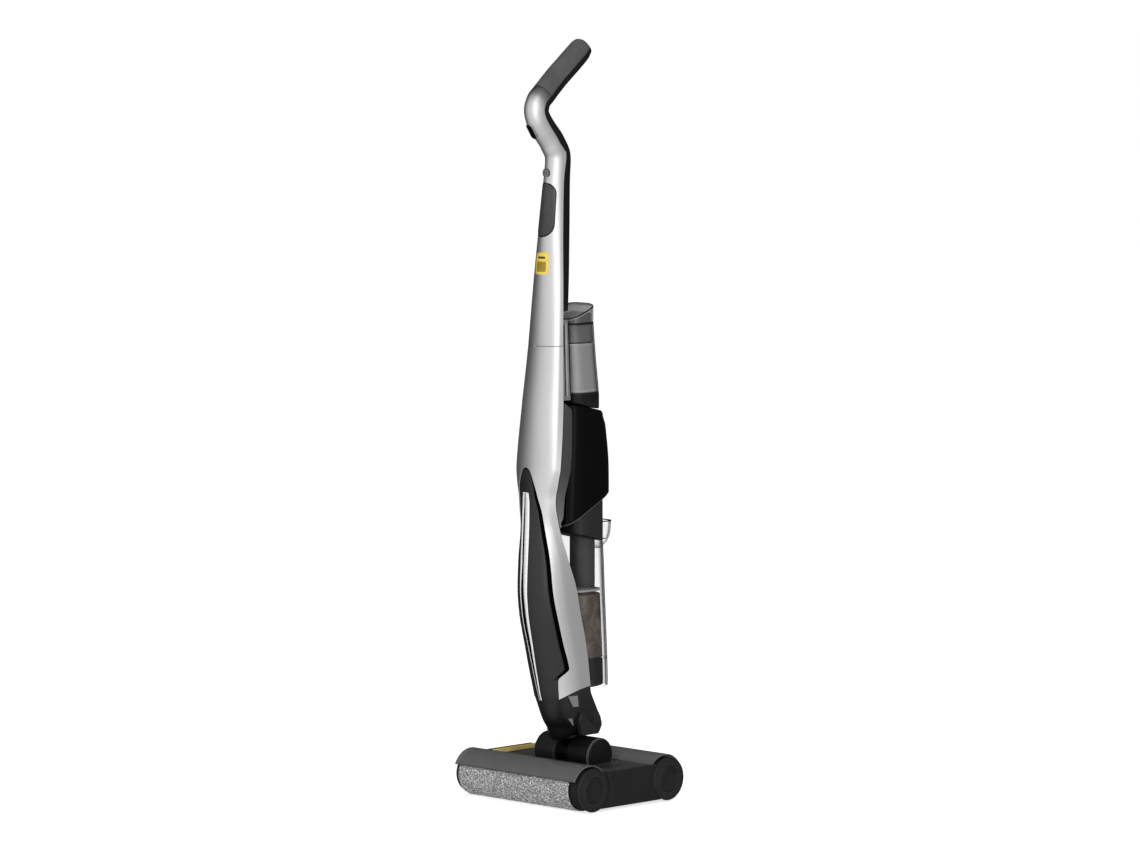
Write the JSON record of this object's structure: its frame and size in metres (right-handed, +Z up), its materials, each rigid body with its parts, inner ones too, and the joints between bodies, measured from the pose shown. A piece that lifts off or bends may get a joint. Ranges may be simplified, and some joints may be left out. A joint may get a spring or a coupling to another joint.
{
  "type": "wet dry floor scrubber",
  "caption": "Cordless upright floor washer: two pile rollers in a flat head, tilt and swivel neck, removable clean and dirty water tanks, bent grip.",
  "frame": {"origin": "on the floor under the middle of the head", "axes": "+Z up, -Y the front of the machine, +Y towards the user"},
  "size_m": [0.258, 0.2206, 1.1074],
  "materials": {
    "silver": "silver metallic satin",
    "black": "satin",
    "gloss_black": "gloss",
    "charcoal": "fine texture",
    "grey": "satin",
    "clear": "smoked clear",
    "rubber": "matte",
    "chrome": "polished",
    "pile": "heather pile",
    "yellow": "satin",
    "green": "solder mask",
    "motor_metal": "brushed",
    "battery": "wrapped cells"
  },
  "bodies": {
    "head": {"head_chassis": "black", "head_deck": "charcoal", "front_hood": "clear", "rear_hood": "clear", "side_cover_left": "charcoal", "side_panel_right": "charcoal", "latch_strip": "yellow", "front_scraper": "rubber", "rear_scraper": "rubber", "spray_bar": "grey", "suction_mouth": "rubber", "front_roller_motor": "motor_metal", "rear_roller_motor": "motor_metal", "front_end_cap": "black", "rear_end_cap": "black", "joint_ear_left": "black", "joint_ear_right": "black"},
    "front_roller": {"front_roller_pile": "pile", "front_roller_core": "grey", "front_drive_hub": "black"},
    "rear_roller": {"rear_roller_pile": "pile", "rear_roller_core": "grey", "rear_drive_hub": "black"},
    "front_lock": {"front_knob": "charcoal"},
    "rear_lock": {"rear_knob": "charcoal"},
    "yoke": {"swivel_yoke": "black", "hinge_pin": "chrome"},
    "upright": {"neck_shell": "black", "duct_boot": "charcoal", "body_shell": "silver", "belly_shell": "charcoal", "belly_strip": "chrome", "battery_pack": "battery", "control_board": "green", "water_pump": "black", "handle_shell": "silver", "grip": "rubber", "back_strip": "black", "dock_column": "grey", "display_lens": "gloss_black", "cheek_left": "charcoal", "cheek_right": "charcoal", "motor_housing": "gloss_black", "suction_motor": "motor_metal", "exhaust_filter": "pile"},
    "blower": {"fan": "grey"},
    "power_key": {"power_button": "grey"},
    "mode_key": {"mode_button": "black"},
    "clean_tank_body": {"clean_tank": "clear", "clean_tank_base": "black"},
    "clean_lid": {"clean_tank_lid": "clear"},
    "dirty_tank": {"dirty_cup": "clear", "dirty_tank_base": "charcoal", "dirty_tank_lid": "black", "dirty_tank_handle": "clear", "separator_tube": "charcoal"},
    "float": {"float_disc": "grey"},
    "release_key": {"release_button": "black"}
  },
  "joints": [
    {"name": "front_roller_spin", "type": "hinge", "parent": "head", "child": "front_roller", "pos_m": [0, -0.0773, 0.033], "axis": [1, 0, 0], "continuous": true},
    {"name": "rear_roller_spin", "type": "hinge", "parent": "head", "child": "rear_roller", "pos_m": [0, 0.0773, 0.033], "axis": [1, 0, 0], "continuous": true},
    {"name": "front_knob_turn", "type": "hinge", "parent": "head", "child": "front_lock", "pos_m": [0.125, -0.0773, 0.033], "axis": [1, 0, 0], "range_deg": [0, 90]},
    {"name": "rear_knob_turn", "type": "hinge", "parent": "head", "child": "rear_lock", "pos_m": [0.125, 0.0773, 0.033], "axis": [1, 0, 0], "range_deg": [0, 90]},
    {"name": "recline", "type": "hinge", "parent": "head", "child": "yoke", "pos_m": [0, 0.0087, 0.0655], "axis": [-1, 0, 0], "range_deg": [0, 42]},
    {"name": "swivel", "type": "hinge", "parent": "yoke", "child": "upright", "pos_m": [0, 0.0087, 0.096], "axis": [0, 0, 1], "range_deg": [-35, 35]},
    {"name": "fan_spin", "type": "hinge", "parent": "upright", "child": "blower", "pos_m": [0, 0.008, 0.533], "axis": [0, 0, 1], "continuous": true},
    {"name": "power_button_press", "type": "slide", "parent": "upright", "child": "power_key", "axis": [0, 1, 0.0034], "range_m": [0, 0.0008], "stiffness_N_per_m": 300, "springref_m": -0.002},
    {"name": "mode_button_press", "type": "slide", "parent": "upright", "child": "mode_key", "axis": [0, 0.8281, 0.5605], "range_m": [0, 0.0015], "stiffness_N_per_m": 300, "springref_m": -0.002},
    {"name": "clean_tank_lift", "type": "slide", "parent": "upright", "child": "clean_tank_body", "axis": [0, 0.287, 0.9579], "range_m": [0, 0.1]},
    {"name": "clean_lid_open", "type": "hinge", "parent": "clean_tank_body", "child": "clean_lid", "pos_m": [0, 0.0285, 0.6984], "axis": [-1, 0, 0], "range_deg": [0, 80]},
    {"name": "dirty_tank_pull", "type": "slide", "parent": "upright", "child": "dirty_tank", "axis": [0, 1, 0], "range_m": [0, 0.12]},
    {"name": "float_rise", "type": "slide", "parent": "dirty_tank", "child": "float", "axis": [0, 0, 1], "range_m": [0, 0.011]},
    {"name": "release_button_press", "type": "slide", "parent": "dirty_tank", "child": "release_key", "axis": [0, -1, 0], "range_m": [0, 0.0015], "stiffness_N_per_m": 300, "springref_m": -0.002}
  ],
  "couplings": [
    {"joint": "rear_roller_spin", "follows": "front_roller_spin", "ratio": -1}
  ]
}
